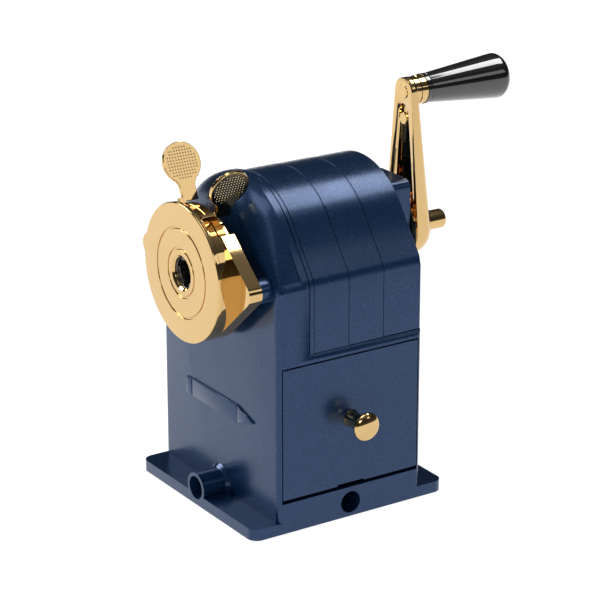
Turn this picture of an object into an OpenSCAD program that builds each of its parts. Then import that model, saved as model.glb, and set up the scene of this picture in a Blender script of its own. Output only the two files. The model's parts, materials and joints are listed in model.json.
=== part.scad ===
// Crank pencil sharpener: painted casting, polished feed head with a pencil chuck,
// planetary helical cutter, crank with a spinning handle and a shavings drawer.
// Millimetres. Origin at the centre of the footprint, on the table.
// +X is the drawer side, -Y the pencil side, +Y the crank side, +Z up.

/* [Body] */
// Width of the body and of the base, across the drawer side and the far side
body_w = 70; // [68:0.5:74]
// Depth of the body from the front face to the rear
body_d = 55; // [54:0.5:58]
// How far the base reaches past the body at the front and at the rear
base_overhang = 9.5; // [8:0.5:14]
// Thickness of the base plate
base_t = 4.2; // [3.5:0.1:5]
// Height of the crank axis above the table
axis_z = 81; // [80:0.5:84]
// Radius of the arched roof about the crank axis
roof_r = 28.4; // [28:0.1:29]
// Wall thickness of the casting and of the covers
wall = 1.8; // [1.5:0.1:2]

/* [Drawer] */
// Height of the drawer opening
drawer_open_h = 45.8; // [44:0.2:46]
// Thickness of the drawer's front plate
drawer_front_t = 2; // [1.5:0.1:2.5]

/* [Feed head] */
// Radius of the round face
face_r = 22.7; // [22.5:0.1:23.2]
// Radius of the pencil hole in the face
pencil_hole_r = 5.1; // [4.8:0.1:5.5]
// Radius that the closed chuck jaws grip
jaw_grip_r = 3.75; // [3.5:0.05:4]
// Distance from the crank axis to each guide rod
rod_x = 27.6; // [27.4:0.1:27.8]
// Radius of the guide rods
rod_r = 1.9; // [1.7:0.1:1.9]
// Radius of the round finger tabs
tab_r = 6.75; // [6:0.25:7.5]
// Lean of each finger lever from the vertical, in degrees
lever_lean = 25.2; // [24:0.2:28]

/* [Crank] */
// Distance from the crank axis to the handle axis
crank_len = 46; // [44:0.5:50]
// Length of the black grip, without its domed end
grip_len = 29; // [26:1:34]
// Radius of the grip's far end
grip_r = 7.6; // [6.5:0.1:8]

/* [Cutter] */
// Teeth of the fixed ring gear, a multiple of four
ring_teeth = 36; // [36:4:36]
// Teeth of the cutter's pinion
pinion_teeth = 12; // [12:1:12]
// Half of the angle of the sharpened point, in degrees
point_half_angle = 11; // [10:0.5:12]

/* [Hidden] */
$fn = 96;
hull_fn = 32;
eps = 0.01;
run_gap = 0.06; // radial clearance of everything that turns or slides in a bore
free_gap = 0.3; // gap between parts that move past each other
paint = [0.07, 0.14, 0.30];
gold = [0.90, 0.72, 0.36];
steel = [0.75, 0.76, 0.78];
dark_steel = [0.35, 0.36, 0.38];
gloss_black = [0.03, 0.03, 0.03];
rubber_black = [0.08, 0.08, 0.08];

half_w = body_w / 2;
half_d = body_d / 2;
base_half_d = half_d + base_overhang;
corner_r = 2; // vertical corners of the body
base_corner_r = 3.5; // corners of the base in plan
pad_t = 1;
pad_recess = 0.6;
casting_z = pad_t - pad_recess; // underside of the base plate

// shoulders where the roof's slant meets the upright side
shoulder_z = axis_z; // top of the upright side
slant_x = half_w - 0.9;
slant_z = axis_z + 3.1;

// the front casting ends at a groove, and the covers follow it in four bands
front_rim_y = -16;
cover_y = -15.2;
ledge_z = 58.9; // where the covers stand on the casting
ledge_slope_z = 57.6; // foot of the slope between the case's side and the covers
rim_r = roof_r + 0.7;
dome_r = 9; // fillet between the arch and the front face
band_y = [cover_y, -13.5, -0.3, 13, half_d - 0.3];
band_step = 0.12; // each band is a little smaller than the one in front
band_groove = 0.25;
cover_inset = 0.8;

drawer_open_z = 10.6;
drawer_top_z = drawer_open_z + drawer_open_h;
drawer_half_d = half_d - 1.4;
drawer_gap = 0.35;
drawer_foot_gap = 1.2;
drawer_head_gap = 0.5;
knob_z = drawer_open_z + drawer_foot_gap + (drawer_open_h - drawer_foot_gap - drawer_head_gap) / 2 + 0.6;
rim_w = 3.4; // rim round the opening that the shavings fall through
rim_d = 3;

// sockets for the rod of the table clamp
clamp_r = 3.9;
clamp_tube_r = 5.1;
clamp_z = 6.3;
side_clamp_r = 3.7;
side_clamp_z = 5.3;
clamp_depth = 28;

// feed head, from its face backwards
face_y = -41.2;
face_t = 1.6;
cup_y = face_y + face_t;
yoke_y = -36.2;
head_back_y = -31.5;
cup_in_r = face_r - 1;
chuck_r = 19.4;
web_t = 1.6;
web_y = head_back_y - web_t;
boss_r = 4;
rod_end_y = 19;
guide_tube_r = 6.9;
front_hole_r = guide_tube_r + free_gap;
window_half_angle = 46;

lever_ring_r = cup_in_r - free_gap;
lever_ring_t = 2.9;
right_ring_y = cup_y + 0.25;
left_ring_y = right_ring_y + lever_ring_t + 0.2;
tab_t = 1.2;
tab_y = -31.8;
left_tab_dist = 34.2;
right_tab_dist = 33.1;
neck_w = 5.6;

jaw_w = 6;
jaw_y = cup_y + 0.3;
jaw_l = 4;
jaw_slot_r = 14.2;
jaw_out_r = 12.4;

// crank
rear_plate_y = half_d - 3.3;
rear_face_y = rear_plate_y + 2.4;
rear_screw_spots = [[-26, 66], [26, 66], [-18, 93], [18, 93]]; // [x, z]
housing_screw_r = 12.3;
housing_y = 40.4;
housing_half_w = 9.4;
housing_top = 19;
arm_y = 43.6;
arm_eye_r = 4.7;
arm_hub_r = 9.4;
arm_eye_t = 3.4;
arm_hub_t = 7.8;
shaft_r = 3.5;
adjuster_r = 3.3;
adjuster_len = 8.8;
stop_r = 1.2;
stop_hole_r = stop_r + run_gap;
handle_z = axis_z + crank_len;
barrel_t = 1; // how far the eye's round barrel stands out of the arm
ferrule_y = arm_y + arm_eye_t + barrel_t + 0.15;
ferrule_t = 2.4;
ring_t = 1.7;
grip_y = ferrule_y + ferrule_t + ring_t;
grip_thin_r = 4.9;
pin_r = 1.8;

// planetary cutter: a roller that lies along the side of the pencil's point
cutter_r = 7.2;
cutter_front_y = -12;
cutter_back_y = 7;
point_tip_y = 6;
cutter_axis_gap = cutter_r / cos(point_half_angle);
ring_gear_y = -23.4;
ring_gear_t = 4.2;
pinion_mid_y = ring_gear_y + ring_gear_t / 2;
pinion_dist = cutter_axis_gap + (point_tip_y - pinion_mid_y) * tan(point_half_angle);
gear_module = 2 * pinion_dist / (ring_teeth - pinion_teeth);
ring_pitch_r = gear_module * ring_teeth / 2;
pinion_pitch_r = gear_module * pinion_teeth / 2;
ring_gear_out_r = 24.6;
carrier_front_y = -18;
carrier_front_t = 3;
carrier_back_y = 13;
carrier_back_t = 3.5;
carrier_r = 23.4;
spindle_r = 1.5;

// ---- helpers ----

// a cylinder about a line parallel to Y, from y0 to y1
module rod_y(r, y0, y1, x = 0, z = axis_z) {
    translate([x, y1, z]) rotate([90, 0, 0]) cylinder(r = r, h = y1 - y0);
}

// a cone about a line parallel to Y: radius ra at y0 and rb at y1
module cone_y(ra, rb, y0, y1, x = 0, z = axis_z) {
    translate([x, y0, z]) rotate([-90, 0, 0]) cylinder(r1 = ra, r2 = rb, h = y1 - y0);
}

// turns a profile of [radius, y] points about a line parallel to Y
module lathe_y(points, x = 0, z = axis_z) {
    translate([x, 0, z]) rotate([-90, 0, 0]) rotate_extrude() polygon(points);
}

// a cylinder about a line parallel to X, from x0 to x1
module rod_x(r, x0, x1, y, z) {
    translate([x0, y, z]) rotate([0, 90, 0]) cylinder(r = r, h = x1 - x0);
}

// an upright block with rounded corners in plan
module rounded_block(w, d, z0, z1, r) {
    translate([0, 0, z0]) linear_extrude(z1 - z0) union() {
        square([w - 2 * r, d], center = true);
        square([w, d - 2 * r], center = true);
        for (sx = [-1, 1], sy = [-1, 1]) {
            translate([sx * (w / 2 - r), sy * (d / 2 - r)]) circle(r = r);
        }
    }
}

// turns its children about the crank axis, clockwise from the front
module about_axis(angle) {
    translate([0, 0, axis_z]) rotate([0, angle, 0]) children();
}

function polar(r, a) = [r * cos(a), r * sin(a)];

// angle at which the slant leaves a circle of radius r
function slant_angle(r, inset = 0) =
    acos(r / norm([slant_x - inset, slant_z - axis_z]))
    + atan2(slant_z - axis_z, slant_x - inset);

// the arched outline as a solid: arch, slants, shoulders and upright sides down to z0
module arch(r, inset, y0, y1, z0) {
    a = min(89, slant_angle(r, inset) + 1);
    side = half_w - inset;
    half = [[side, z0 - axis_z], [side, -inset / 3], [slant_x - inset, slant_z - axis_z - inset / 3],
            polar(r - eps, a)];
    mirrored = [for (i = [3:-1:0]) [-half[i][0], half[i][1]]];
    union() {
        difference() {
            rod_y(r, y0, y1);
            translate([-body_w, y0 - 1, z0 - body_w]) cube([2 * body_w, y1 - y0 + 2, body_w]);
        }
        translate([0, y1, axis_z]) rotate([90, 0, 0]) linear_extrude(y1 - y0)
            polygon(concat(half, mirrored));
    }
}

// one thin slice of the domed front, t degrees round the fillet
module dome_slice(t) {
    edge_r = 1.6;
    y = front_rim_y - 2.5 - dome_r * sin(t);
    past = max(0, -y - half_d + corner_r);
    corner_inset = corner_r - sqrt(max(0, pow(corner_r, 2) - pow(past, 2)));
    rod_y(rim_r - dome_r * (1 - cos(t)), y, y + eps, $fn = 72);
    for (s = [-1, 1], p = [[half_w, ledge_slope_z], [half_w, axis_z - corner_inset],
                           [slant_x + 0.1, slant_z - edge_r + 0.3 - corner_inset]]) {
        rod_y(edge_r, y, y + eps, s * (p[0] - edge_r - corner_inset), p[1], $fn = 16);
    }
}

// ---- fixed parts ----

// the case below the covers, as one solid block with rounded corners
module case_block(z0, z1) {
    rounded_block(body_w, body_d, z0, z1, corner_r);
}

module clamp_tubes() {
    rod_y(clamp_tube_r, -base_half_d, -base_half_d + clamp_depth + 2, 0, clamp_z);
    cone_y(clamp_tube_r, clamp_tube_r + 1.1, -half_d - 1.3, -half_d, 0, clamp_z);
    rod_x(side_clamp_r + 1.2, half_w - clamp_depth - 2, half_w - 1, 0, side_clamp_z);
}

module clamp_bores() {
    rod_y(clamp_r, -base_half_d - 1, -base_half_d + clamp_depth, 0, clamp_z);
    rod_x(side_clamp_r, half_w - clamp_depth, half_w + 1, 0, side_clamp_z);
}

// base plate, clamp sockets and the low walls under the drawer
module base_casting() {
    inner_w = body_w - 2 * wall;
    color(paint) difference() {
        union() {
            difference() {
                union() {
                    case_block(casting_z + 1, drawer_open_z);
                    rounded_block(body_w, 2 * base_half_d, casting_z, base_t, base_corner_r);
                }
                translate([-inner_w / 2, -drawer_half_d, base_t])
                    cube([inner_w, 2 * drawer_half_d, drawer_open_z]);
            }
            clamp_tubes();
        }
        clamp_bores();
        // seat of the front wall
        translate([-half_w, -half_d, drawer_open_z]) cube([body_w, half_d - drawer_half_d, base_t]);
        translate([0, 0, casting_z - 1])
            rounded_block(body_w - 5, 2 * base_half_d - 5, 0, 1 + pad_recess, base_corner_r - 1);
    }
}

// one wall of the drawer chamber: what the block and a box share
module case_wall(x0, x1, y0, y1) {
    color(paint) intersection() {
        case_block(drawer_open_z, drawer_top_z);
        translate([x0, y0, drawer_open_z]) cube([x1 - x0, y1 - y0, drawer_top_z - drawer_open_z]);
    }
}

module case_front_wall() case_wall(-half_w, half_w, -half_d, -drawer_half_d);
module case_rear_wall() case_wall(-half_w, half_w, drawer_half_d, half_d);
module case_side_wall() case_wall(-half_w, -half_w + wall, -drawer_half_d, drawer_half_d);

// rim over the drawer, which slopes in to the covers at the sides
module case_top_frame() {
    top_x = half_w - cover_inset;
    color(paint) difference() {
        union() {
            case_block(drawer_top_z, ledge_slope_z);
            intersection() {
                case_block(ledge_slope_z - 1, ledge_z);
                translate([0, half_d, 0]) rotate([90, 0, 0]) linear_extrude(half_d - front_rim_y)
                    polygon([[-half_w, ledge_slope_z - 1], [half_w, ledge_slope_z - 1],
                             [half_w, ledge_slope_z], [top_x, ledge_z], [-top_x, ledge_z],
                             [-half_w, ledge_slope_z]]);
            }
        }
        // shavings fall from the cutter chamber into the drawer
        translate([-half_w + rim_w, -half_d + rim_d, drawer_top_z - 1])
            cube([body_w - 2 * rim_w, body_d - 2 * rim_d, ledge_z - drawer_top_z + 2]);
    }
}

// domed front of the cutter chamber, which carries the ring gear and the guide rods
module front_housing() {
    color(paint) difference() {
        union() {
            arch(rim_r, 0, front_rim_y - 2.5, front_rim_y, ledge_slope_z);
            hull() for (t = [0:15:90]) dome_slice(t);
            for (s = [-1, 1]) rod_y(boss_r, head_back_y + 0.1, -half_d + 1, s * rod_x);
        }
        translate([-body_w, -body_d, 0]) cube([2 * body_w, 2 * body_d, ledge_slope_z]);
        arch(roof_r - wall - 0.4, cover_inset + wall, ring_gear_y + 4, front_rim_y + 1, ledge_slope_z - 2);
        // hollow round the ring gear's seat
        arch(ring_gear_out_r - 2.2, cover_inset + wall + 1, -half_d + rim_d, ring_gear_y + 5,
            ledge_slope_z - 2);
        rod_y(ring_gear_out_r, ring_gear_y, ring_gear_y + 8);
        rod_y(front_hole_r, -half_d - 1, -half_d + rim_d + 2);
        for (s = [-1, 1]) rod_y(rod_r + 1, head_back_y - 1, -half_d + 12, s * rod_x);
    }
}

module roof_cover() {
    color(paint) difference() {
        union() {
            for (i = [0:3]) {
                gap = i < 3 ? band_groove : 0;
                arch(roof_r - i * band_step, cover_inset + i * band_step,
                     band_y[i], band_y[i + 1] - gap, ledge_z + 0.1);
            }
            arch(roof_r - 0.9, cover_inset + 0.9, cover_y + 0.5, band_y[4] - 0.5, ledge_z + 0.1);
        }
        arch(roof_r - wall - 0.4, cover_inset + wall, cover_y - 1, half_d + 1, ledge_z - 5);
    }
}

module rear_plate() {
    color(paint) difference() {
        arch(roof_r - wall - 0.45, cover_inset + wall + 0.05, rear_plate_y, rear_face_y, ledge_z + 0.1);
        rod_y(7, rear_plate_y - 1, rear_face_y + 1);
        for (p = rear_screw_spots) rod_y(1.25, rear_plate_y - 1, rear_face_y + 1, p[0], p[1]);
        for (s = [-1, 1]) rod_y(1.05, rear_plate_y - 1, rear_face_y + 1, s * housing_screw_r);
    }
}

module rear_bearing_housing() {
    y0 = rear_face_y + 0.02;
    top_r = 3;
    color(paint) difference() {
        union() {
            rod_y(housing_half_w, y0, housing_y);
            translate([-housing_half_w, y0, axis_z])
                cube([2 * housing_half_w, housing_y - y0, housing_top - top_r]);
            translate([-housing_half_w + top_r, y0, axis_z])
                cube([2 * (housing_half_w - top_r), housing_y - y0, housing_top]);
            for (s = [-1, 1]) {
                rod_y(top_r, y0, housing_y, s * (housing_half_w - top_r), axis_z + housing_top - top_r);
            }
            // flange that the screws hold to the rear plate
            rod_y(15, y0, y0 + 2.2);
        }
        rod_y(5.5, y0 - 1, housing_y + 1);
        for (s = [-1, 1]) rod_y(1.05, y0 - 1, y0 + 3, s * housing_screw_r);
    }
}

// a pan-head screw whose head faces +Y
module screw_y(x, y, z, head_r, shank_r, len) {
    difference() {
        union() {
            rod_y(head_r, y, y + head_r * 0.6, x, z);
            rod_y(shank_r, y - len, y + eps, x, z);
        }
        rod_y(head_r * 0.45, y + head_r * 0.25, y + head_r, x, z, $fn = 6);
    }
}

module rear_screws() {
    color(steel) for (p = rear_screw_spots) {
        screw_y(p[0], rear_face_y + 0.02, p[1], 2.2, 1.2, 2);
    }
}

module housing_screws() {
    color(steel) for (s = [-1, 1]) {
        screw_y(s * housing_screw_r, rear_face_y + 2.25, axis_z, 1.7, 1, 3.5);
    }
}

module base_pad() {
    color(rubber_black)
        rounded_block(body_w - 5.4, 2 * base_half_d - 5.4, 0, pad_t - 0.02, base_corner_r - 1.2);
}

// a plain raised pencil on the front, in place of any lettering
module front_emblem() {
    z = 34;
    len = 16;
    h = 3;
    depth = 0.7;
    color(paint) translate([0, -half_d - 0.02, z]) rotate([90, 0, 0]) linear_extrude(depth) union() {
        translate([-len, -h]) square([2 * len - 5, 0.64 * h]);
        translate([-len, -h * 0.28]) square([2 * len - 5, 0.56 * h]);
        translate([-len, h * 0.36]) square([2 * len - 5, 0.64 * h]);
        polygon([[len - 4.4, -h], [len + 1.6, -0.9], [len + 1.6, 0.9], [len - 4.4, h]]);
        polygon([[len + 2.2, -0.8], [len + 5, 0], [len + 2.2, 0.8]]);
        translate([-len - 4, -h]) square([3.2, 2 * h]);
    }
}

module rod_bush(side) {
    color(steel) difference() {
        rod_y(rod_r + 0.98, head_back_y + 0.6, -half_d + 3, side * rod_x);
        rod_y(rod_r + run_gap, head_back_y, -half_d + 4, side * rod_x);
    }
}

module rod_bush_left() rod_bush(-1);
module rod_bush_right() rod_bush(1);

module shaft_bush() {
    color(steel) difference() {
        union() {
            rod_y(5.48, rear_plate_y - 0.1, housing_y - 0.3);
            rod_y(6.9, rear_plate_y - 0.1, rear_face_y);
        }
        rod_y(shaft_r + run_gap, rear_plate_y - 1, housing_y + 1);
    }
}

// outline of a spur gear; negative depth values make the cutter of an internal gear
function gear_points(teeth, root_r, tip_r, root_share, tip_share) =
    [for (i = [0:teeth - 1], c = [[root_r, -root_share], [tip_r, -tip_share],
                                  [tip_r, tip_share], [root_r, root_share]])
        polar(c[0], 360 / teeth * (i + c[1]))];

module ring_gear() {
    // the outline is that of the tooth spaces, turned so that a tooth faces up
    root = ring_pitch_r + 1.15 * gear_module;
    tip = ring_pitch_r - 0.75 * gear_module;
    color(dark_steel) difference() {
        rod_y(ring_gear_out_r - 0.05, ring_gear_y + 0.05, ring_gear_y + ring_gear_t);
        translate([0, ring_gear_y + ring_gear_t + 1, axis_z]) rotate([90, 0, 0])
            linear_extrude(ring_gear_t + 2)
            rotate(90 + 180 / ring_teeth) polygon(gear_points(ring_teeth, tip, root, 0.36, 0.20));
        for (a = [45:90:315]) {
            about_axis(a) translate([0, 0, -axis_z])
                rod_y(0.85, ring_gear_y - 1, ring_gear_y + 9, 0, axis_z + 23.1);
        }
    }
}

module ring_gear_screws() {
    color(steel) for (a = [45:90:315]) {
        about_axis(a) translate([0, 0, -axis_z]) union() {
            rod_y(0.8, ring_gear_y + 0.1, ring_gear_y + ring_gear_t + 0.1, 0, axis_z + 23.1);
            rod_y(1.3, ring_gear_y + ring_gear_t + 0.02, ring_gear_y + ring_gear_t + 0.7, 0, axis_z + 23.1);
        }
    }
}

module drawer_rail(side) {
    z = drawer_open_z + 2.2;
    rail_y = side > 0 ? drawer_half_d - 1.2 : -drawer_half_d + 0.05;
    color(steel) translate([-half_w + wall + 0.05, rail_y, z])
        cube([body_w - wall - drawer_front_t - 0.6, 1.15, 3]);
}

module drawer_rail_front() drawer_rail(-1);
module drawer_rail_rear() drawer_rail(1);

// ---- drawer ----

module drawer_front() {
    color(paint) difference() {
        translate([half_w - drawer_front_t, -drawer_half_d + drawer_gap, drawer_open_z + drawer_foot_gap])
            cube([drawer_front_t, 2 * (drawer_half_d - drawer_gap),
                  drawer_open_h - drawer_foot_gap - drawer_head_gap]);
        rod_x(1.5, half_w - 5, half_w + 1, 0, knob_z);
        // finger notch in the lower edge
        translate([half_w - drawer_front_t - 1, -5, drawer_open_z]) cube([drawer_front_t + 2, 10, 1.7]);
    }
}

module drawer_tray() {
    t = 1;
    x0 = -half_w + wall + 1.2;
    x1 = half_w - drawer_front_t - 0.02;
    d = drawer_half_d - 1.9;
    z0 = drawer_open_z + 1.4;
    color(dark_steel) difference() {
        translate([x0, -d, z0]) cube([x1 - x0, 2 * d, 36]);
        translate([x0 + t, -d + t, z0 + t]) cube([x1 - x0 - 2 * t, 2 * (d - t), 40]);
        rod_x(1.5, half_w - 6, half_w + 1, 0, knob_z);
    }
}

module drawer_knob() {
    // neck, flared bell and domed end
    dome = [for (a = [0:10:90]) [4.75 * sin(a), 8.4 + 2.3 * cos(a)]];
    color(gold) translate([half_w + 0.02, 0, knob_z]) rotate([0, 90, 0]) difference() {
        rotate_extrude() polygon(concat([[0, 0], [3, 0], [2.75, 1], [2.6, 2.6], [2.65, 4.4],
            [3, 6], [3.8, 7.2], [4.6, 7.9], [4.75, 8.4]], [for (i = [8:-1:0]) dome[i]]));
        translate([0, 0, -1]) cylinder(r = 1.25, h = 6);
    }
}

module drawer_knob_screw() {
    color(steel) union() {
        rod_x(1.2, half_w - drawer_front_t - 1.1, half_w + 4.5, 0, knob_z);
        rod_x(2.6, half_w - drawer_front_t - 2.6, half_w - drawer_front_t - 1.06, 0, knob_z);
    }
}

// ---- feed head ----

module face_disc() {
    groove = [[0.35, 0], [0.3, 0.45], [-0.3, 0.45], [-0.35, 0]];
    rim_round = 0.4;
    rim = [for (a = [0:15:90]) [face_r - rim_round * (1 - sin(a)), face_y + rim_round * (1 - cos(a))]];
    color(gold) lathe_y(concat(
        [[pencil_hole_r, cup_y], [face_r, cup_y]],
        [for (i = [6:-1:0]) rim[i]],
        [for (r = [14.6, 7.9], g = groove) [r + g[0], face_y + g[1]]],
        [[5.9, face_y], [pencil_hole_r, face_y + 0.8]]
    ));
}

// the part of a ring wall that is open at the top, between two radii
module top_window(r0, r1, y0, y1) {
    a = window_half_angle;
    difference() {
        translate([0, y1, axis_z]) rotate([90, 0, 0]) linear_extrude(y1 - y0)
            polygon([[0, 0], polar(2 * r1, 90 - a), [0, 3 * r1], polar(2 * r1, 90 + a)]);
        rod_y(r0, y0 - 1, y1 + 1);
    }
}

module yoke_outline(y0, y1) {
    ear_x = 29.6;
    ear_r = 3.9;
    rod_y(face_r - 0.1, y0, y1);
    hull() for (s = [-1, 1]) {
        rod_y(ear_r, y0, y1, s * (ear_x - 1), axis_z + 0.3, $fn = hull_fn);
        translate([s * 15, y0, axis_z + 15]) cube([1, y1 - y0, 1]);
        translate([s * 15, y0, axis_z - 16]) cube([1, y1 - y0, 1]);
    }
}

module feed_yoke() {
    color(gold) difference() {
        union() {
            rod_y(face_r - 0.05, cup_y + 0.02, head_back_y);
            yoke_outline(yoke_y, head_back_y);
        }
        rod_y(cup_in_r, cup_y - 1, web_y);
        top_window(chuck_r + 0.3, face_r + 9, cup_y - 1, head_back_y + 1);
        rod_y(guide_tube_r + 0.02, web_y - 1, head_back_y + 1);
        for (s = [-1, 1]) rod_y(rod_r + 0.02, yoke_y + 1.5, head_back_y + 1, s * rod_x);
    }
}

module chuck_body() {
    color(steel) difference() {
        rod_y(chuck_r, cup_y + 0.02, web_y - 0.02);
        rod_y(pencil_hole_r, cup_y - 1, web_y + 1);
        for (a = [0, 120, 240]) about_axis(a) translate([-jaw_w / 2 - 0.15, jaw_y - 0.15, 0])
            cube([jaw_w + 0.3, jaw_l + 0.3, jaw_slot_r]);
    }
}

module guide_tube() {
    color(gold) difference() {
        rod_y(guide_tube_r, web_y + 0.02, -half_d + 2);
        rod_y(pencil_hole_r, web_y - 1, -half_d + 3);
    }
}

module guide_rod(side) {
    color(steel) difference() {
        rod_y(rod_r, yoke_y + 1.52, rod_end_y, side * rod_x);
        difference() {
            rod_y(rod_r + 1, rod_end_y - 1.6, rod_end_y - 0.8, side * rod_x);
            rod_y(rod_r - 0.5, rod_end_y - 2, rod_end_y, side * rod_x);
        }
    }
}

module guide_rod_left() guide_rod(-1);
module guide_rod_right() guide_rod(1);

module rod_clip(side) {
    color(dark_steel) difference() {
        rod_y(rod_r + 0.85, rod_end_y - 1.55, rod_end_y - 0.85, side * rod_x);
        rod_y(rod_r - 0.48, rod_end_y - 3, rod_end_y + 1, side * rod_x);
        translate([side > 0 ? rod_x : -rod_x - 5, rod_end_y - 2, axis_z - 1.2]) cube([5, 2, 2.4]);
    }
}

module rod_clip_left() rod_clip(-1);
module rod_clip_right() rod_clip(1);

// a helical wire spring about a line parallel to Y, as one swept tube
module spring_y(coil_r, wire_r, y0, y1, turns, x) {
    steps = 14 * turns;
    sides = 6;
    points = [for (i = [0:steps], k = [0:sides - 1])
        let (a = 360 * turns * i / steps, b = 360 * k / sides, r = coil_r + wire_r * cos(b))
        [r * cos(a), y0 + (y1 - y0) * i / steps + wire_r * sin(b), r * sin(a)]];
    rings = [for (i = [0:steps - 1], k = [0:sides - 1])
        let (n = (k + 1) % sides)
        [i * sides + k, i * sides + n, (i + 1) * sides + n, (i + 1) * sides + k]];
    first = [for (k = [sides - 1:-1:0]) k];
    last = [for (k = [0:sides - 1]) steps * sides + k];
    translate([x, 0, axis_z]) polyhedron(points, concat([first], rings, [last]));
}

module return_spring(side) {
    color(steel) spring_y(rod_r + 0.5, 0.3, -half_d + 3.4, rod_end_y - 1.9, 10, side * rod_x);
}

module return_spring_left() return_spring(-1);
module return_spring_right() return_spring(1);

// a finger lever: ring round the chuck, neck and round tab in the plane of the axis
module lever(side, ring_y, tab_dist) {
    neck_y = tab_y - neck_w / 2;
    color(gold) union() {
        difference() {
            rod_y(lever_ring_r, ring_y, ring_y + lever_ring_t);
            rod_y(chuck_r + run_gap, ring_y - 1, ring_y + lever_ring_t + 1);
        }
        about_axis(side * lever_lean) {
            translate([-tab_t / 2, ring_y + 0.1, chuck_r + 1]) cube([tab_t, lever_ring_t - 0.2, 3.4]);
            translate([-tab_t / 2, ring_y + 0.1, lever_ring_r + 0.4])
                cube([tab_t, neck_y + neck_w - ring_y - 0.1, 1.5]);
            translate([-tab_t / 2, neck_y, lever_ring_r + 0.5])
                cube([tab_t, neck_w, tab_dist - tab_r - lever_ring_r + 1]);
            translate([-tab_t / 2, tab_y, tab_dist]) rotate([0, 90, 0]) cylinder(r = tab_r, h = tab_t);
        }
    }
}

module lever_left() lever(-1, left_ring_y, left_tab_dist);
module lever_right() lever(1, right_ring_y, right_tab_dist);

// a chuck jaw that slides away from the pencil
module jaw(angle) {
    color(dark_steel) difference() {
        about_axis(angle) translate([-jaw_w / 2, jaw_y, jaw_grip_r - 0.55])
            cube([jaw_w, jaw_l, jaw_out_r - jaw_grip_r + 0.55]);
        rod_y(jaw_grip_r, jaw_y - 1, jaw_y + jaw_l + 1);
    }
}

module jaw_top() jaw(0);
module jaw_left() jaw(240);
module jaw_right() jaw(120);

// ---- crank and cutter ----

module crank_shaft() {
    color(steel) difference() {
        rod_y(shaft_r, carrier_back_y + 0.05, arm_y + arm_hub_t - 0.5);
        rod_y(stop_hole_r, carrier_back_y - 1, arm_y + arm_hub_t + 1);
    }
}

module shaft_collar() {
    color(dark_steel) difference() {
        rod_y(6, rear_plate_y - 2.9, rear_plate_y - 0.3);
        rod_y(shaft_r + 0.02, half_d - 8, half_d);
    }
}

// moves its children onto the cutter's axis, which leans towards the point
module on_cutter_axis(y) {
    dist = cutter_axis_gap + (point_tip_y - y) * tan(point_half_angle);
    translate([0, y, axis_z + dist]) rotate([-point_half_angle, 0, 0]) children();
}

// a cylinder along the cutter's axis, from y0 to y1 measured at its middle
module on_axis_rod(r, y0, y1) {
    on_cutter_axis(y0) rotate([-90, 0, 0]) cylinder(r = r, h = (y1 - y0) / cos(point_half_angle));
}

module cutter_carrier() {
    color(steel) difference() {
        union() {
            rod_y(carrier_r, carrier_front_y, carrier_front_y + carrier_front_t);
            rod_y(carrier_r - 1, carrier_back_y, carrier_back_y + carrier_back_t);
            rod_y(8, carrier_back_y, carrier_back_y + 6);
            for (s = [-1, 1]) {
                about_axis(s * 112) translate([-5, carrier_front_y + 1, 12])
                    cube([10, carrier_back_y - carrier_front_y, 8]);
            }
        }
        cone_y(7.5, 6.5, carrier_front_y - 0.01, carrier_front_y + carrier_front_t + 0.01);
        rod_y(shaft_r + 0.02, carrier_back_y + 0.03, carrier_back_y + 7);
        rod_y(stop_hole_r, carrier_back_y - 1, carrier_back_y + 7);
        on_axis_rod(spindle_r + run_gap, carrier_front_y - 4, carrier_back_y + carrier_back_t + 4);
    }
}

module helical_cutter() {
    flutes = 9;
    length = (cutter_back_y - cutter_front_y) / cos(point_half_angle);
    points = [for (i = [0:flutes - 1], c = [[cutter_r - 0.9, -0.3], [cutter_r - 0.05, 0.02],
                                            [cutter_r - 0.3, 0.22]])
        polar(c[0], 360 / flutes * (i + c[1]))];
    color(dark_steel) difference() {
        on_cutter_axis(cutter_front_y) rotate([-90, 0, 0])
            linear_extrude(length, twist = 70, slices = 14) polygon(points);
        on_axis_rod(spindle_r + 0.02, cutter_front_y - 5, cutter_back_y + 5);
    }
}

module cutter_pinion() {
    root = pinion_pitch_r - 1.15 * gear_module;
    tip = pinion_pitch_r + 0.55 * gear_module;
    t = 2.6;
    color(dark_steel) difference() {
        on_cutter_axis(pinion_mid_y) rotate([-90, 0, 0]) translate([0, 0, -t / 2])
            linear_extrude(t) rotate(90 + 180 / pinion_teeth)
                polygon(gear_points(pinion_teeth, root, tip, 0.30, 0.10));
        on_axis_rod(spindle_r + 0.02, pinion_mid_y - 5, pinion_mid_y + 5);
    }
}

module cutter_spindle() {
    color(steel) on_axis_rod(spindle_r, pinion_mid_y - 1.4, carrier_back_y + carrier_back_t - 0.3);
}

module hub_flange() {
    color(gold) difference() {
        lathe_y([[0, housing_y + 0.4], [11.6, housing_y + 0.4], [12.1, housing_y + 0.9],
            [11, housing_y + 1.5],
                 [9, housing_y + 2.2], [8.3, arm_y - 0.02], [0, arm_y - 0.02]]);
        rod_y(shaft_r + 0.02, housing_y - 1, arm_y + 1);
    }
}

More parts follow.
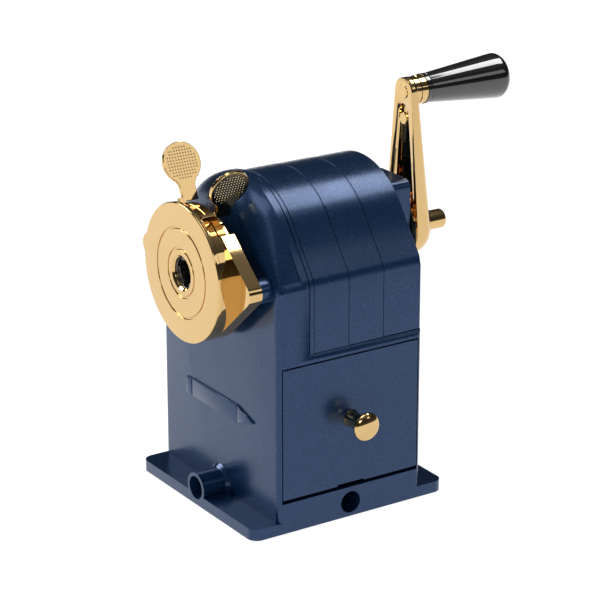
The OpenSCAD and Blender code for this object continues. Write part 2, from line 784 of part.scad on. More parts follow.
module crank_arm() {
    pocket_low = 12;
    pocket_high = crank_len - 7.4;
    color(gold) difference() {
        union() {
            hull() {
                rod_y(arm_hub_r, arm_y, arm_y + 2.8, $fn = 2 * hull_fn);
                rod_y(arm_hub_r - 2.2, arm_y, arm_y + arm_hub_t, $fn = 2 * hull_fn);
                rod_y(arm_eye_r, arm_y, arm_y + 2.2, 0, handle_z, $fn = 2 * hull_fn);
                rod_y(arm_eye_r - 0.8, arm_y, arm_y + arm_eye_t, 0, handle_z, $fn = 2 * hull_fn);
            }
            rod_y(arm_eye_r, arm_y + 1, arm_y + arm_eye_t + barrel_t, 0, handle_z);
        }
        // channel that opens towards the body
        hull() {
            rod_y(6, arm_y - 1, arm_y + 4.6, 0, axis_z + pocket_low, $fn = hull_fn);
            rod_y(2.5, arm_y - 1, arm_y + 2, 0, axis_z + pocket_high, $fn = hull_fn);
        }
        rod_y(shaft_r + 0.02, arm_y - 1, arm_y + arm_hub_t + 1);
        rod_y(pin_r + 0.6, arm_y - 1, arm_y + arm_eye_t, 0, handle_z);
        rod_y(pin_r + 0.02, arm_y, arm_y + arm_eye_t + barrel_t + 1, 0, handle_z);
    }
}

module handle_pin() {
    head = pin_r + 0.58;
    color(gold) union() {
        rod_y(head, arm_y - 0.25, arm_y + arm_eye_t - 0.02, 0, handle_z);
        rod_y(pin_r, arm_y + arm_eye_t - 1, grip_y + grip_len * 0.7, 0, handle_z);
    }
}

module arm_stud() {
    z = handle_z - 9;
    color(gold) cone_y(1.9, 2.1, arm_y + 0.1, arm_y + 1.1, 0, z);
}

module handle_ferrule() {
    color(gold) difference() {
        rod_y(grip_thin_r - 0.15, ferrule_y, ferrule_y + ferrule_t, 0, handle_z);
        rod_y(pin_r + run_gap, ferrule_y - 1, ferrule_y + ferrule_t + 1, 0, handle_z);
    }
}

module handle_ring() {
    y0 = ferrule_y + ferrule_t + 0.02;
    color(gloss_black) difference() {
        rod_y(grip_thin_r + 0.1, y0, y0 + ring_t - 0.04, 0, handle_z);
        rod_y(pin_r + run_gap, y0 - 1, y0 + ring_t + 1, 0, handle_z);
    }
}

module handle_grip() {
    dome = [for (a = [0:10:90]) [grip_r - 1.6 * (1 - cos(a)) - 5.4 * (1 - cos(a)) * (a / 90),
                                 grip_y + grip_len + 2.4 * sin(a)]];
    color(gloss_black) difference() {
        lathe_y(concat([[0, grip_y], [grip_thin_r - 0.2, grip_y], [grip_thin_r, grip_y + 0.3]],
                       [for (p = dome) [max(0, p[0]), p[1]]], [[0, grip_y + grip_len + 2.4]]),
                0, handle_z);
        rod_y(pin_r + run_gap, grip_y - 1, grip_y + grip_len * 0.7 + 1, 0, handle_z);
    }
}

module adjuster_knob() {
    y0 = arm_y + arm_hub_t + 0.05;
    color(gold) lathe_y(concat([[0, y0], [adjuster_r, y0], [adjuster_r, y0 + adjuster_len - 1.2]],
        [for (a = [0:15:75]) [adjuster_r - 1.4 * (1 - cos(a)), y0 + adjuster_len - 1.2 + 1.2 * sin(a)]],
        [[0, y0 + adjuster_len]]));
}

module tip_stop_rod() {
    color(steel) rod_y(stop_r, point_tip_y + 3, arm_y + arm_hub_t - 0.6);
}

base_casting();
case_front_wall();
case_rear_wall();
case_side_wall();
case_top_frame();
front_housing();
roof_cover();
rear_plate();
rear_bearing_housing();
rear_screws();
housing_screws();
base_pad();
front_emblem();
rod_bush_left();
rod_bush_right();
shaft_bush();
ring_gear();
ring_gear_screws();
drawer_rail_front();
drawer_rail_rear();
drawer_front();
drawer_tray();
drawer_knob();
drawer_knob_screw();
face_disc();
feed_yoke();
chuck_body();
guide_tube();
guide_rod_left();
guide_rod_right();
rod_clip_left();
rod_clip_right();
return_spring_left();
return_spring_right();
lever_left();
lever_right();
jaw_top();
jaw_left();
jaw_right();
crank_shaft();
cutter_carrier();
hub_flange();
crank_arm();
handle_pin();
arm_stud();
shaft_collar();
helical_cutter();
cutter_pinion();
cutter_spindle();
handle_ferrule();
handle_ring();
handle_grip();
adjuster_knob();
tip_stop_rod();
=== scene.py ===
import math

import bmesh
import bpy
import numpy as np
from mathutils import Matrix, Vector
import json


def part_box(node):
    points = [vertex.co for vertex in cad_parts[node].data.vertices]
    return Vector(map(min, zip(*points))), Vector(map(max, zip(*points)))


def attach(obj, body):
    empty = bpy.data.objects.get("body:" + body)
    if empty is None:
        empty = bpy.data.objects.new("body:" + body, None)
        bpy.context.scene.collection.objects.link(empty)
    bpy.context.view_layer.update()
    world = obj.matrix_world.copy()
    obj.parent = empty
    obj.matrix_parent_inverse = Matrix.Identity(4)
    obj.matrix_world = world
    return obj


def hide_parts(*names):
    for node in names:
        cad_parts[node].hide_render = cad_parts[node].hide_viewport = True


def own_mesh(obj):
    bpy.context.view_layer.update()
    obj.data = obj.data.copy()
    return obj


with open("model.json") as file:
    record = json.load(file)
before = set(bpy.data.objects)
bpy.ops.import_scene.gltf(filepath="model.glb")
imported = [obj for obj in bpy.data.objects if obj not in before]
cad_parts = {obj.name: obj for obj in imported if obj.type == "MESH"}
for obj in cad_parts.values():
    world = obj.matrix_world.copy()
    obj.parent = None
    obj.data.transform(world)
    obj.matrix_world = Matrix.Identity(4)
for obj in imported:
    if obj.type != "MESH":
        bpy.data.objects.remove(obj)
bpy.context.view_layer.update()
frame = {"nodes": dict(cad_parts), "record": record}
NODES = frame["nodes"]
MM = 0.001

# ---- camera ----

AIM = Vector((-2.1, 4.9, 62.1)) * MM
CAMERA_AZIMUTH = math.radians(56.7)
CAMERA_ELEVATION = math.radians(20.07)
CAMERA_DISTANCE = 0.8398
LENS_MM = 154.4
SENSOR_MM = 36.0


def direction(azimuth, elevation):
    """From the object towards a viewer; azimuth 0 is the front side and 90 degrees is +X."""
    flat = math.cos(elevation)
    return Vector((math.sin(azimuth) * flat, -math.cos(azimuth) * flat, math.sin(elevation)))


def aim(obj, target):
    """Turns a camera or a lamp so that it looks at a point."""
    obj.rotation_euler = (target - obj.location).to_track_quat("-Z", "Y").to_euler()


def make_camera():
    data = bpy.data.cameras.new("camera")
    data.lens = LENS_MM
    data.sensor_width = SENSOR_MM
    data.clip_start = 0.05
    data.clip_end = 20
    camera = bpy.data.objects.new("camera", data)
    camera.location = AIM + direction(CAMERA_AZIMUTH, CAMERA_ELEVATION) * CAMERA_DISTANCE
    aim(camera, AIM)
    bpy.context.scene.collection.objects.link(camera)
    bpy.context.scene.camera = camera


make_camera()


# ---- node helpers ----

class Shader:
    """A material's node tree, with short ways to add and join nodes."""

    def __init__(self, name):
        self.material = bpy.data.materials.new(name)
        self.material.use_nodes = True
        self.tree = self.material.node_tree
        self.principled = self.tree.nodes["Principled BSDF"]

    def node(self, kind, **values):
        made = self.tree.nodes.new(kind)
        for key, value in values.items():
            setattr(made, key, value)
        return made

    def link(self, source, target):
        self.tree.links.new(source, target)

    def set(self, **values):
        for key, value in values.items():
            self.principled.inputs[key.replace("_", " ")].default_value = value

    def noise(self, scale, detail=2.0, roughness=0.5):
        place = self.node("ShaderNodeTexCoord")
        made = self.node("ShaderNodeTexNoise")
        made.inputs["Scale"].default_value = scale
        made.inputs["Detail"].default_value = detail
        made.inputs["Roughness"].default_value = roughness
        self.link(place.outputs["Object"], made.inputs["Vector"])
        return made.outputs["Fac"]

    def cells(self, scale):
        place = self.node("ShaderNodeTexCoord")
        made = self.node("ShaderNodeTexVoronoi")
        made.inputs["Scale"].default_value = scale
        self.link(place.outputs["Object"], made.inputs["Vector"])
        return made

    def ramp(self, source, stops):
        made = self.node("ShaderNodeValToRGB")
        elements = made.color_ramp.elements
        while len(elements) < len(stops):
            elements.new(0.5)
        for element, (position, colour) in zip(elements, stops):
            element.position = position
            element.color = colour if len(colour) == 4 else (*colour, 1)
        self.link(source, made.inputs["Fac"])
        return made.outputs["Color"]

    def span(self, source, low, high, from_low=0.0, from_high=1.0):
        made = self.node("ShaderNodeMapRange")
        made.inputs["From Min"].default_value = from_low
        made.inputs["From Max"].default_value = from_high
        made.inputs["To Min"].default_value = low
        made.inputs["To Max"].default_value = high
        self.link(source, made.inputs["Value"])
        return made.outputs["Result"]

    def bump(self, height, strength, distance, normal=None):
        made = self.node("ShaderNodeBump")
        made.inputs["Strength"].default_value = strength
        made.inputs["Distance"].default_value = distance
        self.link(height, made.inputs["Height"])
        if normal is not None:
            self.link(normal, made.inputs["Normal"])
        return made.outputs["Normal"]

    def into(self, source, socket):
        self.link(source, self.principled.inputs[socket])


# ---- materials ----

def navy_paint():
    """Satin navy lacquer with fine metal flakes."""
    s = Shader("navy_paint")
    s.set(Metallic=0.5, Coat_Weight=0.22, Coat_Roughness=0.16)
    flakes = s.cells(7500)
    tone = s.ramp(flakes.outputs["Color"], [(0.0, (0.002, 0.021, 0.075)), (0.7, (0.005, 0.034, 0.108)),
                                            (1.0, (0.05, 0.13, 0.28))])
    s.into(tone, "Base Color")
    s.into(s.span(s.noise(60, 4), 0.21, 0.29, 0.3, 0.7), "Roughness")
    grain = s.bump(flakes.outputs["Distance"], 0.10, 0.00008)
    s.into(s.bump(s.noise(900, 3), 0.12, 0.00006, grain), "Normal")
    return s.material


def gold(name, colour, roughness):
    """Mirror-polished plating with faint polishing marks."""
    s = Shader(name)
    s.set(Metallic=1.0)
    light = tuple(min(1.0, c * 1.06) for c in colour)
    s.into(s.ramp(s.noise(35, 3), [(0.3, colour), (0.7, light)]), "Base Color")
    s.into(s.span(s.noise(180, 4), roughness * 0.7, roughness * 1.3, 0.3, 0.7), "Roughness")
    s.into(s.bump(s.noise(420, 2), 0.03, 0.00004), "Normal")
    return s.material


def bare_metal(name, low, high, rough_low, rough_high):
    """Machined or drawn steel or bronze, a little uneven in tone."""
    s = Shader(name)
    s.set(Metallic=1.0)
    s.into(s.ramp(s.noise(220, 5), [(0.3, low), (0.7, high)]), "Base Color")
    s.into(s.span(s.noise(600, 4), rough_low, rough_high, 0.3, 0.7), "Roughness")
    s.into(s.bump(s.noise(1500, 3), 0.15, 0.00003), "Normal")
    return s.material


def black_gloss():
    """Deep black lacquer."""
    s = Shader("black_gloss")
    s.set(Coat_Weight=1.0, Coat_Roughness=0.03, Coat_IOR=1.6)
    s.into(s.ramp(s.noise(30, 2), [(0.3, (0.004, 0.004, 0.005)), (0.7, (0.007, 0.007, 0.008))]), "Base Color")
    s.into(s.span(s.noise(90, 3), 0.05, 0.10, 0.3, 0.7), "Roughness")
    s.into(s.bump(s.noise(250, 2), 0.02, 0.00004), "Normal")
    return s.material


def pad_rubber():
    s = Shader("pad_rubber")
    s.into(s.ramp(s.noise(700, 5), [(0.3, (0.012, 0.012, 0.012)), (0.7, (0.03, 0.03, 0.03))]), "Base Color")
    s.into(s.span(s.noise(300, 3), 0.75, 0.9, 0.3, 0.7), "Roughness")
    s.into(s.bump(s.noise(2200, 3), 0.5, 0.0001), "Normal")
    return s.material


def tray_steel():
    s = Shader("tray_steel")
    s.set(Metallic=0.2)
    s.into(s.ramp(s.noise(150, 4), [(0.3, (0.02, 0.022, 0.028)), (0.7, (0.035, 0.038, 0.045))]), "Base Color")
    s.into(s.span(s.noise(500, 4), 0.4, 0.55, 0.3, 0.7), "Roughness")
    s.into(s.bump(s.noise(1800, 3), 0.3, 0.00005), "Normal")
    return s.material


MATERIALS = {
    "navy_paint": navy_paint(),
    "polished_gold": gold("polished_gold", (0.64, 0.44, 0.20), 0.045),
    "knurled_gold": gold("knurled_gold", (0.74, 0.60, 0.38), 0.14),
    # The darker, browner gold below is painted shade and painted dark reflection for the lever rings, which sit
    # recessed in the window.
    "aged_gold": gold("aged_gold", (0.50, 0.26, 0.08), 0.12),
    "steel": bare_metal("steel", (0.50, 0.51, 0.53), (0.62, 0.63, 0.65), 0.22, 0.34),
    "dark_steel": bare_metal("dark_steel", (0.10, 0.105, 0.11), (0.17, 0.175, 0.18), 0.28, 0.42),
    "spring_steel": bare_metal("spring_steel", (0.24, 0.25, 0.27), (0.34, 0.35, 0.37), 0.2, 0.3),
    "bronze": bare_metal("bronze", (0.40, 0.24, 0.11), (0.50, 0.31, 0.15), 0.3, 0.45),
    "tray_steel": tray_steel(),
    "black_gloss": black_gloss(),
    "pad_rubber": pad_rubber(),
}
NODE_SLOT = {row["node"]: row["material_slot"] for row in frame["record"]["subparts"]}


# ---- CAD nodes ----

SMALL_EDGE = 0.12
EDGE_ROUND = {"roof_cover": 0.35, "rear_plate": 0.3, "rear_bearing_housing": 0.6, "drawer_front": 0.25,
              "drawer_tray": 0.3, "feed_yoke": 0.22, "front_emblem": 0.2, "chuck_body": 0.2}


def round_edges(obj, width_mm, angle=32.0, segments=3):
    """Welds a mesh and rounds its sharp edges as modifiers, with flat faces kept flat in the shading."""
    if "custom_normal" in obj.data.attributes:
        obj.data.attributes.remove(obj.data.attributes["custom_normal"])
    for polygon in obj.data.polygons:
        polygon.use_smooth = True
    weld = obj.modifiers.new("weld", "WELD")
    weld.merge_threshold = 0.000002
    flat = obj.modifiers.new("flat", "DECIMATE")
    flat.decimate_type = "DISSOLVE"
    flat.angle_limit = math.radians(0.8)
    bevel = obj.modifiers.new("round", "BEVEL")
    bevel.width = width_mm * MM
    bevel.segments = segments
    bevel.limit_method = "ANGLE"
    bevel.angle_limit = math.radians(angle)
    bevel.harden_normals = True


def dress(name):
    """Rounds and smooths a CAD node as modifiers, and gives it its finish."""
    obj = NODES[name]
    obj.data.materials.clear()
    obj.data.materials.append(MATERIALS[NODE_SLOT[name]])
    round_edges(obj, EDGE_ROUND.get(name, SMALL_EDGE))


for node_name in NODES:
    dress(node_name)


# ---- shapes ----

def circle_points(radius, count, start=0.0):
    """Points [a, b] of a circle about the origin."""
    return [(radius * math.cos(start + 2 * math.pi * i / count), radius * math.sin(start + 2 * math.pi * i / count))
            for i in range(count)]


def piece(name, vertices, faces, slot, body, replaced, sharp=40.0):
    """A mesh piece in millimetres of the shared frame, smooth except at sharp edges, with its finish and its body."""
    mesh = bpy.data.meshes.new(name)
    mesh.from_pydata([tuple(c * MM for c in v) for v in vertices], [], faces)
    made = bmesh.new()
    made.from_mesh(mesh)
    bmesh.ops.remove_doubles(made, verts=made.verts, dist=1e-7)
    bmesh.ops.recalc_face_normals(made, faces=made.faces)
    limit = math.radians(sharp)
    for face in made.faces:
        face.smooth = True
    for edge in made.edges:
        edge.smooth = not (len(edge.link_faces) == 2 and edge.calc_face_angle(0) > limit)
    made.to_mesh(mesh)
    made.free()
    obj = bpy.data.objects.new(name, mesh)
    obj.data.materials.append(MATERIALS[slot])
    bpy.context.scene.collection.objects.link(obj)
    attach(obj, body)
    if replaced:
        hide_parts(*replaced)
    return obj


def lathe(profile, axis_x, axis_z, segments=128):
    """A solid turned about a line parallel to Y from [radius, y] points; a radius of 0 closes an end."""
    vertices, faces, rings = [], [], []
    for radius, y in profile:
        if radius < 1e-6:
            rings.append([len(vertices)])
            vertices.append((axis_x, y, axis_z))
        else:
            rings.append(list(range(len(vertices), len(vertices) + segments)))
            vertices += [(axis_x + a, y, axis_z + b) for a, b in circle_points(radius, segments)]
    closed = profile[0][0] > 1e-6 and profile[-1][0] > 1e-6
    pairs = list(zip(rings, rings[1:])) + ([(rings[-1], rings[0])] if closed else [])
    for low, high in pairs:
        for i in range(segments):
            j = (i + 1) % segments
            if len(low) == 1 and len(high) > 1:
                faces.append((low[0], high[j], high[i]))
            elif len(high) == 1 and len(low) > 1:
                faces.append((low[i], low[j], high[0]))
            elif len(low) > 1 and len(high) > 1:
                faces.append((low[i], low[j], high[j], high[i]))
    return vertices, faces


def arc(centre, radius, start, end, steps):
    """Points of an arc in degrees, both ends included."""
    return [(centre[0] + radius * math.cos(math.radians(start + (end - start) * i / steps)),
             centre[1] + radius * math.sin(math.radians(start + (end - start) * i / steps)))
            for i in range(steps + 1)]


def loft(rings, cap_first=True, cap_last=True):
    """Joins rings of equal length into a tube with capped ends."""
    count = len(rings[0])
    vertices = [v for ring in rings for v in ring]
    faces = []
    for k in range(len(rings) - 1):
        for i in range(count):
            j = (i + 1) % count
            faces.append((k * count + i, k * count + j, (k + 1) * count + j, (k + 1) * count + i))
    if cap_first:
        faces.append(tuple(reversed(range(count))))
    if cap_last:
        faces.append(tuple(range((len(rings) - 1) * count, len(rings) * count)))
    return vertices, faces


def box_mm(node):
    low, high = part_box(node)
    return [c / MM for c in low], [c / MM for c in high]


# ---- painted case: the CAD's pieces of one casting, joined ----

AXIS_Z = 81.0
CASTING = ("base_casting", "case_front_wall", "case_rear_wall", "case_side_wall", "case_top_frame", "front_housing")


def welded_copy(node):
    """A clean copy of a CAD node's mesh, for joining with others."""
    mesh = NODES[node].data.copy()
    made = bmesh.new()
    made.from_mesh(mesh)
    bmesh.ops.remove_doubles(made, verts=made.verts, dist=2e-6)
    made.to_mesh(mesh)
    made.free()
    if "custom_normal" in mesh.attributes:
        mesh.attributes.remove(mesh.attributes["custom_normal"])
    obj = bpy.data.objects.new("part_of_case", mesh)
    bpy.context.scene.collection.objects.link(obj)
    return obj


def make_case():
    """One mesh for the casting, with soft edges all round."""
    first, *others = [welded_copy(node) for node in CASTING]
    for other in others:
        join = first.modifiers.new("join", "BOOLEAN")
        join.operation = "UNION"
        join.solver = "MANIFOLD"
        join.object = other
    seen = first.evaluated_get(bpy.context.evaluated_depsgraph_get())
    mesh = bpy.data.meshes.new_from_object(seen)
    for obj in [first, *others]:
        bpy.data.objects.remove(obj)
    made = bmesh.new()
    made.from_mesh(mesh)
    bmesh.ops.remove_doubles(made, verts=made.verts, dist=3e-6)
    bmesh.ops.dissolve_limit(made, angle_limit=math.radians(1.0), verts=made.verts, edges=made.edges)
    made.to_mesh(mesh)
    made.free()
    mesh.materials.clear()
    mesh.materials.append(MATERIALS["navy_paint"])
    case = bpy.data.objects.new("painted_case", mesh)
    bpy.context.scene.collection.objects.link(case)
    round_edges(case, 0.45, angle=34)
    case.modifiers["weld"].merge_threshold = 0.000001
    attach(case, "root")
    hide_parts(*CASTING)


make_case()


# ---- crank arm: a flange round a channel, with a rounded back ----

def stadium(low_r, low_z, high_r, high_z, count=40):
    """The outline round two circles on the crank's plane: the lower arc, then the upper arc."""
    lean = math.asin((low_r - high_r) / (high_z - low_z))
    points = []
    for i in range(count + 1):
        a = math.pi - lean + (math.pi + 2 * lean) * i / count
        points.append((low_r * math.cos(a), low_z + low_r * math.sin(a)))
    for i in range(count + 1):
        a = lean + (math.pi - 2 * lean) * i / count
        points.append((high_r * math.cos(a), high_z + high_r * math.sin(a)))
    return points


def bore(obj, radius, low_y, high_y):
    """Cuts a round hole along the crank's axis, and leaves no cutter behind."""
    vertices, faces = lathe([(0, low_y), (radius, low_y), (radius, high_y), (0, high_y)], 0, AXIS_Z, 64)
    mesh = bpy.data.meshes.new("cutter")
    mesh.from_pydata([tuple(c * MM for c in v) for v in vertices], [], faces)
    tool = bpy.data.objects.new("cutter", mesh)
    bpy.context.scene.collection.objects.link(tool)
    made = bmesh.new()
    made.from_mesh(mesh)
    bmesh.ops.recalc_face_normals(made, faces=made.faces)
    made.to_mesh(mesh)
    made.free()
    cut = obj.modifiers.new("cut", "BOOLEAN")
    cut.operation = "DIFFERENCE"
    cut.solver = "EXACT"
    cut.object = tool
    seen = obj.evaluated_get(bpy.context.evaluated_depsgraph_get())
    obj.data = bpy.data.meshes.new_from_object(seen)
    obj.modifiers.clear()
    bpy.data.objects.remove(tool)


def make_crank_arm():
    low, high = box_mm("crank_arm")
    front = low[1]
    hub_r, eye_r = 9.4, 4.7
    hub_t, eye_t = 7.8, 3.4
    shaft_r = 3.5
    handle_z = high[2] - eye_r

    def layer(low_r, high_r, low_y, high_y, low_z=AXIS_Z, high_z=handle_z):
        ring = []
        for x, z in stadium(low_r, low_z, high_r, high_z):
            share = min(1.0, max(0.0, (z - low_z) / (high_z - low_z)))
            ring.append((x, front + low_y + (high_y - low_y) * share, z))
        return ring

    rings = []
    # floor and walls of the channel, then its lip
    channel = [(0.4, 0.25, 4.9, 2.2), (4.4, 1.4, 4.9, 2.2), (5.6, 2.2, 4.4, 1.9), (6.3, 2.75, 0.35, 0.35),
               (6.65, 3.1, 0.0, 0.0)]
    for low_r, high_r, low_y, high_y in channel:
        rings.append(layer(low_r, high_r, low_y, high_y, AXIS_Z + 9.5, handle_z - 6.9))
    rings.append(layer(hub_r - 0.3, eye_r - 0.3, 0.0, 0.0))
    rings.append(layer(hub_r - 0.08, eye_r - 0.08, 0.08, 0.08))
    rings.append(layer(hub_r, eye_r, 0.3, 0.3))
    rings.append(layer(hub_r, eye_r, 2.5, 2.1))
    # the back rolls in
    for i in range(1, 13):
        turn = math.pi / 2 * i / 12
        shrink, rise = 1 - math.cos(turn), math.sin(turn)
        rings.append(layer(hub_r - 5.6 * shrink, eye_r - 2.2 * shrink,
                           2.5 + (hub_t - 2.5) * rise, 2.1 + (eye_t - 2.1) * rise))
    vertices, faces = loft(rings)
    arm = piece("arm", vertices, faces, "polished_gold", "crank", ["crank_arm"], sharp=48)
    bore(arm, shaft_r, front - 1, high[1] + 1)
    # round barrel of the eye
    barrel_y = high[1]
    barrel = lathe([(0, front + 1), (eye_r - 0.1, front + 1), (eye_r - 0.1, front + 4.3), (eye_r - 0.2, front + 4.4),
                    (0, front + 4.4)], 0, handle_z)
    piece("arm_barrel", *barrel, "polished_gold", "crank", [])


make_crank_arm()


# ---- finger levers with knurled tabs ----

def make_lever(node, body, side, ring_y, distance):
    lean = math.radians(25.2) * side
    tab_r, tab_y, tab_t, neck_w = 6.75, -31.8, 1.2, 5.6
    ring_r, ring_in, ring_t = 21.4, 19.46, 2.9
    along = Vector((math.sin(lean), 0, math.cos(lean)))
    across = Vector((math.cos(lean), 0, -math.sin(lean)))
    centre = Vector((0, 0, AXIS_Z))

    def place(y, radial, off):
        return tuple(centre + along * radial + across * off + Vector((0, y, 0)))

    half = neck_w / 2
    waist = distance - tab_r - 0.6
    # round tab, then concave sides down to the neck and its foot on the ring
    start = math.degrees(math.asin((half + 0.9) / tab_r))
    outline = [(tab_y + a, distance + b) for a, b in arc((0, 0), tab_r, -90 + start, 270 - start, 72)]
    outline += [(tab_y - half - 0.25, waist + 0.5), (tab_y - half, waist - 0.6), (tab_y - half, ring_r + 1.9)]
    foot_front = ring_y + 0.1
    if foot_front < tab_y - half - 0.5:
        outline += [(foot_front + 0.4, ring_r + 1.9), (foot_front, ring_r + 1.5)]
    outline += [(foot_front, ring_in + 0.9), (ring_y + ring_t - 0.1, ring_in + 0.9),
                (ring_y + ring_t - 0.1, ring_r + 0.4), (tab_y + half, ring_r + 0.4),
                (tab_y + half, waist - 0.6), (tab_y + half + 0.25, waist + 0.5)]
    rings = [[place(y, r, off) for y, r in outline] for off in (-tab_t / 2, tab_t / 2)]
    vertices, faces = loft(rings)
    tab = piece(body + "_tab", vertices, faces, "polished_gold", body, [node], sharp=35)
    bevel = tab.modifiers.new("round", "BEVEL")
    bevel.width = 0.2 * MM
    bevel.segments = 3
    bevel.limit_method = "ANGLE"
    bevel.angle_limit = math.radians(50)
    # knurl: rows of small pyramids on both faces
    pitch, base, top_half, height = 0.98, 0.25, 0.06, 0.17
    knurl_v, knurl_f = [], []
    steps = int(tab_r / pitch) + 1
    for i in range(-steps, steps + 1):
        for j in range(-steps, steps + 1):
            a, b = i * pitch, j * pitch
            if math.hypot(a, b) > tab_r - 1.05:
                continue
            for sign in (-1, 1):
                first = len(knurl_v)
                low = sign * (tab_t / 2 - 0.02)
                for da, db in ((-base, -base), (base, -base), (base, base), (-base, base)):
                    knurl_v.append(place(tab_y + a + da, distance + b + db, low))
                top = sign * (tab_t / 2 + height)
                for da, db in ((-top_half, -top_half), (top_half, -top_half), (top_half, top_half),
                               (-top_half, top_half)):
                    knurl_v.append(place(tab_y + a + da, distance + b + db, top))
                for k in range(4):
                    n = (k + 1) % 4
                    knurl_f.append((first + k, first + n, first + 4 + n, first + 4 + k))
                knurl_f.append((first + 4, first + 5, first + 6, first + 7))
                knurl_f.append((first + 3, first + 2, first + 1, first))
    piece(body + "_knurl", knurl_v, knurl_f, "knurled_gold", body, [], sharp=20)
    # The ring takes the darker gold: painted shade for its recessed place in the window.
    ring = lathe([(ring_in, ring_y), (ring_r - 0.2, ring_y), (ring_r, ring_y + 0.2), (ring_r, ring_y + ring_t - 0.2),
                  (ring_r - 0.2, ring_y + ring_t), (ring_in, ring_y + ring_t)], 0, AXIS_Z, 160)
    piece(body + "_ring", *ring, "aged_gold", body, [])


cup_y = box_mm("face_disc")[1][1]
make_lever("lever_right", "right_lever", 1, cup_y + 0.25, 33.1)
make_lever("lever_left", "left_lever", -1, cup_y + 3.35, 34.2)


# ---- emblem: a plain pencil in relief ----

def make_emblem():
    low, high = box_mm("front_emblem")
    tip, tail = high[0], low[0]
    mid, half = (low[2] + high[2]) / 2, (high[2] - low[2]) / 2
    back, face = high[1], low[1]
    # the pencil's parts along its length: end cap, barrel, sharpened cone
    spans = [(tail, tail + 3.6, half * 0.92, half * 0.92), (tail + 3.9, tip - 9.6, half, half),
             (tip - 9.5, tip - 0.2, half, 0.3)]
    for number, (x0, x1, h0, h1) in enumerate(spans):
        rings = []
        for y, inset in ((back, 0.0), (face + 0.25, 0.0), (face + 0.07, 0.07), (face, 0.25)):
            rings.append([(x0 + inset, y, mid - h0 + inset), (x1 - inset, y, mid - max(h1 - inset, 0.05)),
                          (x1 - inset, y, mid + max(h1 - inset, 0.05)), (x0 + inset, y, mid + h0 - inset)])
        piece("emblem_%d" % number, *loft(rings), "navy_paint", "root", ["front_emblem"], sharp=50)


make_emblem()


# ---- turned pieces of the handle ----

def profile_piece(name, profile, axis_x, axis_z, slot, body, replaced, sharp=30):
    return piece(name, *lathe(profile, axis_x, axis_z, 160), slot, body, replaced, sharp)


def make_grip():
    low, high = box_mm("handle_grip")
    x, z = (low[0] + high[0]) / 2, (low[2] + high[2]) / 2
    big = (high[0] - low[0]) / 2
    small = 4.9
    start, end = low[1], high[1]
    length = end - start
    dome = 3.6
    profile = [(0, start), (small - 0.25, start), (small, start + 0.25)]
    for i in range(1, 13):
        share = i / 12
        profile.append((small + (big - small) * share,
                        start + 0.25 + (length - dome - 0.25) * share))
    for i in range(1, 15):
        turn = math.pi / 2 * i / 14
        profile.append((big * math.cos(turn) ** 0.62 if i < 14 else 0, end - dome + dome * math.sin(turn)))
    profile_piece("grip", profile, x, z, "black_gloss", "handle", ["handle_grip"])


make_grip()


def make_ferrule():
    low, high = box_mm("handle_ferrule")
    x, z = (low[0] + high[0]) / 2, (low[2] + high[2]) / 2
    radius = (high[0] - low[0]) / 2
    profile_piece("ferrule", [(0, low[1]), (radius - 0.12, low[1]), (radius, low[1] + 0.12), (radius, high[1] - 0.12),
                              (radius - 0.12, high[1]), (0, high[1])], x, z, "polished_gold", "handle",
                  ["handle_ferrule"])


make_ferrule()


# ---- return springs: copies of the CAD coils ----

for spring_node in ("return_spring_left", "return_spring_right"):
    coil_mesh = NODES[spring_node].data.copy()
    coil = bpy.data.objects.new(spring_node + "_coil", coil_mesh)
    bpy.context.scene.collection.objects.link(coil)
    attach(coil, "root")
    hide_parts(spring_node)
    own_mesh(coil)


# ---- floor and light ----

def make_floor():
    s = Shader("floor")
    s.into(s.ramp(s.noise(3, 2), [(0.3, (0.24, 0.24, 0.24)), (0.7, (0.26, 0.26, 0.26))]), "Base Color")
    s.set(Roughness=0.7, Emission_Color=(1, 1, 1, 1), Emission_Strength=0.93)
    half = 6.0
    mesh = bpy.data.meshes.new("floor")
    mesh.from_pydata([(-half, -half, 0), (half, -half, 0), (half, half, 0), (-half, half, 0)], [], [(0, 1, 2, 3)])
    floor = bpy.data.objects.new("floor", mesh)
    floor.data.materials.append(s.material)
    bpy.context.scene.collection.objects.link(floor)


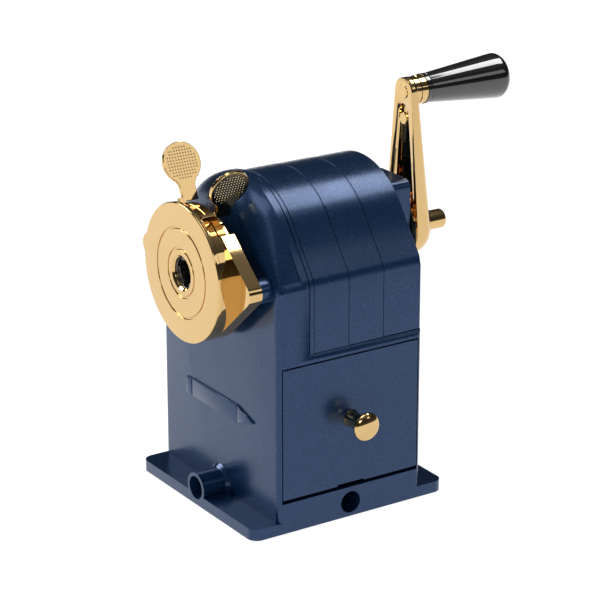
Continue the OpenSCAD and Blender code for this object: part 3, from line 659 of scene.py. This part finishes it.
def area_light(name, azimuth, elevation, distance, width, height, power, target=AIM):
    data = bpy.data.lights.new(name, "AREA")
    data.shape = "RECTANGLE"
    data.size = width
    data.size_y = height
    data.energy = power
    lamp = bpy.data.objects.new(name, data)
    lamp.location = target + direction(math.radians(azimuth), math.radians(elevation)) * distance
    aim(lamp, target)
    bpy.context.scene.collection.objects.link(lamp)


def make_world():
    """A pale studio: bright near the horizon and darker overhead."""
    world = bpy.data.worlds.new("studio")
    bpy.context.scene.world = world
    world.use_nodes = True
    tree = world.node_tree
    place = tree.nodes.new("ShaderNodeTexCoord")
    split = tree.nodes.new("ShaderNodeSeparateXYZ")
    ramp = tree.nodes.new("ShaderNodeValToRGB")
    stops = [(0.0, 0.08), (0.25, 0.04), (0.5, 0.04), (0.7, 0.10), (1.0, 0.3)]
    while len(ramp.color_ramp.elements) < len(stops):
        ramp.color_ramp.elements.new(0.5)
    for element, (position, level) in zip(ramp.color_ramp.elements, stops):
        element.position = position
        element.color = (level, level, level * 1.02, 1)
    background = tree.nodes["Background"]
    plain = tree.nodes.new("ShaderNodeBackground")
    plain.inputs["Color"].default_value = (1, 1, 1, 1)
    path = tree.nodes.new("ShaderNodeLightPath")
    mix = tree.nodes.new("ShaderNodeMixShader")
    tree.links.new(place.outputs["Generated"], split.inputs["Vector"])
    tree.links.new(split.outputs["Z"], ramp.inputs["Fac"])
    tree.links.new(ramp.outputs["Color"], background.inputs["Color"])
    tree.links.new(path.outputs["Is Camera Ray"], mix.inputs["Fac"])
    tree.links.new(background.outputs["Background"], mix.inputs[1])
    tree.links.new(plain.outputs["Background"], mix.inputs[2])
    tree.links.new(mix.outputs["Shader"], tree.nodes["World Output"].inputs["Surface"])


make_floor()
make_world()
area_light("key", -60, 36, 1.3, 0.7, 0.5, 9)
area_light("top", 178, 58, 1.3, 0.6, 0.24, 3.4)
area_light("overhead", 30, 84, 1.6, 0.9, 0.9, 5)
area_light("rear_right", 123, 26.7, 1.5, 0.40, 0.34, 0.5, Vector((-14.6, -31.8, 112)) * MM)
area_light("front", 57, 30, 1.4, 0.5, 0.3, 2.6)
bpy.context.scene.view_settings.view_transform = "Standard"
